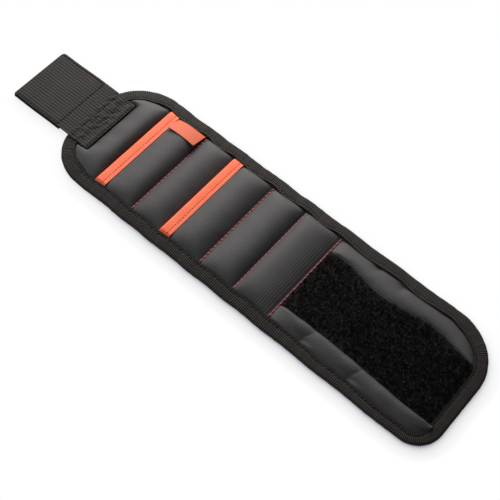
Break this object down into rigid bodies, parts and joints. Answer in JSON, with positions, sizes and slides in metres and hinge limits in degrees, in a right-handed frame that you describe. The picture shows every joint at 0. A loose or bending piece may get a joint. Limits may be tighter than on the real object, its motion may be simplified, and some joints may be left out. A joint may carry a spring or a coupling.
{
  "type": "magnetic wristband",
  "caption": "Padded fabric wristband with disc magnets under its sewn cells, ribbon-edged pockets, and a webbing strap that closes with hook and loop tape.",
  "frame": {"origin": "middle of the band's bounding box, on the surface that its wrist side lies on", "axes": "+X along the band from the strap to the loop tape tail, +Y to the edge that carries the side label, +Z out of the outer face"},
  "size_m": [0.36, 0.09, 0.0082],
  "materials": {
    "cover_cloth": "coated plain weave, charcoal",
    "lining_cloth": "air mesh, black",
    "binding_tape": "ribbed grosgrain, black",
    "padding": "soft foam",
    "orange_ribbon": "ribbed ribbon, orange",
    "label_cloth": "woven label, orange, bare",
    "strap_webbing": "woven webbing, dark grey",
    "loop_pile": "loop pile, black",
    "hook_tape": "moulded hooks, black",
    "seam_thread": "twisted thread, red",
    "magnet": "nickel plated"
  },
  "bodies": {
    "strap": {"strap_webbing": "strap_webbing", "hook_tape": "hook_tape"},
    "end_cell": {"strap_anchor": "strap_webbing", "end_cell_cover": "cover_cloth", "end_cell_foam": "padding", "end_cell_lining": "lining_cloth", "end_cell_binding": "binding_tape"},
    "pocket_1": {"pocket_1_back": "cover_cloth", "pocket_1_lining": "lining_cloth", "pocket_1_binding_near": "binding_tape", "pocket_1_binding_far": "binding_tape"},
    "pocket_1_flap": {"pocket_1_front": "cover_cloth", "pocket_1_ribbon": "orange_ribbon", "side_label": "label_cloth"},
    "pad_1": {"pad_1_cover": "cover_cloth", "pad_1_foam": "padding", "pad_1_lining": "lining_cloth", "pad_1_binding_near": "binding_tape", "pad_1_binding_far": "binding_tape", "pad_1_magnet_near": "magnet", "pad_1_magnet_far": "magnet", "seam_thread_1": "seam_thread"},
    "pocket_2": {"pocket_2_back": "cover_cloth", "pocket_2_lining": "lining_cloth", "pocket_2_binding_near": "binding_tape", "pocket_2_binding_far": "binding_tape"},
    "pocket_2_flap": {"pocket_2_front": "cover_cloth", "pocket_2_ribbon": "orange_ribbon"},
    "pad_2": {"pad_2_cover": "cover_cloth", "pad_2_foam": "padding", "pad_2_lining": "lining_cloth", "pad_2_binding_near": "binding_tape", "pad_2_binding_far": "binding_tape", "pad_2_magnet_near": "magnet", "pad_2_magnet_far": "magnet", "seam_thread_2": "seam_thread"},
    "pad_3": {"pad_3_cover": "cover_cloth", "pad_3_foam": "padding", "pad_3_lining": "lining_cloth", "pad_3_binding_near": "binding_tape", "pad_3_binding_far": "binding_tape", "pad_3_magnet_near": "magnet", "pad_3_magnet_far": "magnet", "seam_thread_3": "seam_thread"},
    "tail_1": {"tail_1_panel": "cover_cloth", "tail_1_lining": "lining_cloth", "tail_1_binding_near": "binding_tape", "tail_1_binding_far": "binding_tape", "tail_1_loop_tape": "loop_pile", "seam_thread_4": "seam_thread"},
    "tail_2": {"tail_2_panel": "cover_cloth", "tail_2_lining": "lining_cloth", "tail_2_binding_near": "binding_tape", "tail_2_binding_far": "binding_tape", "tail_2_loop_tape": "loop_pile"},
    "tail_3": {"tail_3_panel": "cover_cloth", "tail_3_lining": "lining_cloth", "tail_3_binding": "binding_tape", "tail_3_loop_tape": "loop_pile"}
  },
  "joints": [
    {"name": "wrap", "type": "hinge", "parent": "pocket_2", "child": "pad_2", "pos_m": [0, 0, 0], "axis": [0, 1, 0], "range_deg": [0, 35]},
    {"name": "fold_pad_3", "type": "hinge", "parent": "pad_2", "child": "pad_3", "pos_m": [0.0276, 0, 0], "axis": [0, 1, 0], "range_deg": [0, 32.5]},
    {"name": "fold_tail_1", "type": "hinge", "parent": "pad_3", "child": "tail_1", "pos_m": [0.0561, 0, 0], "axis": [0, 1, 0], "range_deg": [0, 40.7]},
    {"name": "fold_tail_2", "type": "hinge", "parent": "tail_1", "child": "tail_2", "pos_m": [0.0974, 0, 0], "axis": [0, 1, 0], "range_deg": [0, 48.4]},
    {"name": "fold_tail_3", "type": "hinge", "parent": "tail_2", "child": "tail_3", "pos_m": [0.1387, 0, 0], "axis": [0, 1, 0], "range_deg": [0, 48.4]},
    {"name": "fold_pad_1", "type": "hinge", "parent": "pocket_2", "child": "pad_1", "pos_m": [-0.0332, 0, 0], "axis": [0, -1, 0], "range_deg": [0, 33.4]},
    {"name": "fold_pocket_1", "type": "hinge", "parent": "pad_1", "child": "pocket_1", "pos_m": [-0.0578, 0, 0], "axis": [0, -1, 0], "range_deg": [0, 32.6]},
    {"name": "fold_end_cell", "type": "hinge", "parent": "pocket_1", "child": "end_cell", "pos_m": [-0.0895, 0, 0], "axis": [0, -1, 0], "range_deg": [0, 41.5]},
    {"name": "strap_fold", "type": "hinge", "parent": "end_cell", "child": "strap", "pos_m": [-0.136, 0, 0.0035], "axis": [0, -1, 0], "range_deg": [-80, 48]},
    {"name": "pocket_1_open", "type": "hinge", "parent": "pocket_1", "child": "pocket_1_flap", "pos_m": [-0.0581, 0, 0.0026], "axis": [0, 1, 0], "range_deg": [0, 20]},
    {"name": "pocket_2_open", "type": "hinge", "parent": "pocket_2", "child": "pocket_2_flap", "pos_m": [-0.0003, 0, 0.0026], "axis": [0, 1, 0], "range_deg": [0, 20]}
  ],
  "couplings": [
    {"joint": "fold_pad_3", "follows": "wrap", "ratio": 0.9249},
    {"joint": "fold_tail_1", "follows": "wrap", "ratio": 1.1575},
    {"joint": "fold_tail_2", "follows": "wrap", "ratio": 1.377},
    {"joint": "fold_tail_3", "follows": "wrap", "ratio": 1.3793},
    {"joint": "fold_pad_1", "follows": "wrap", "ratio": 0.9494},
    {"joint": "fold_pocket_1", "follows": "wrap", "ratio": 0.9262},
    {"joint": "fold_end_cell", "follows": "wrap", "ratio": 1.179}
  ]
}
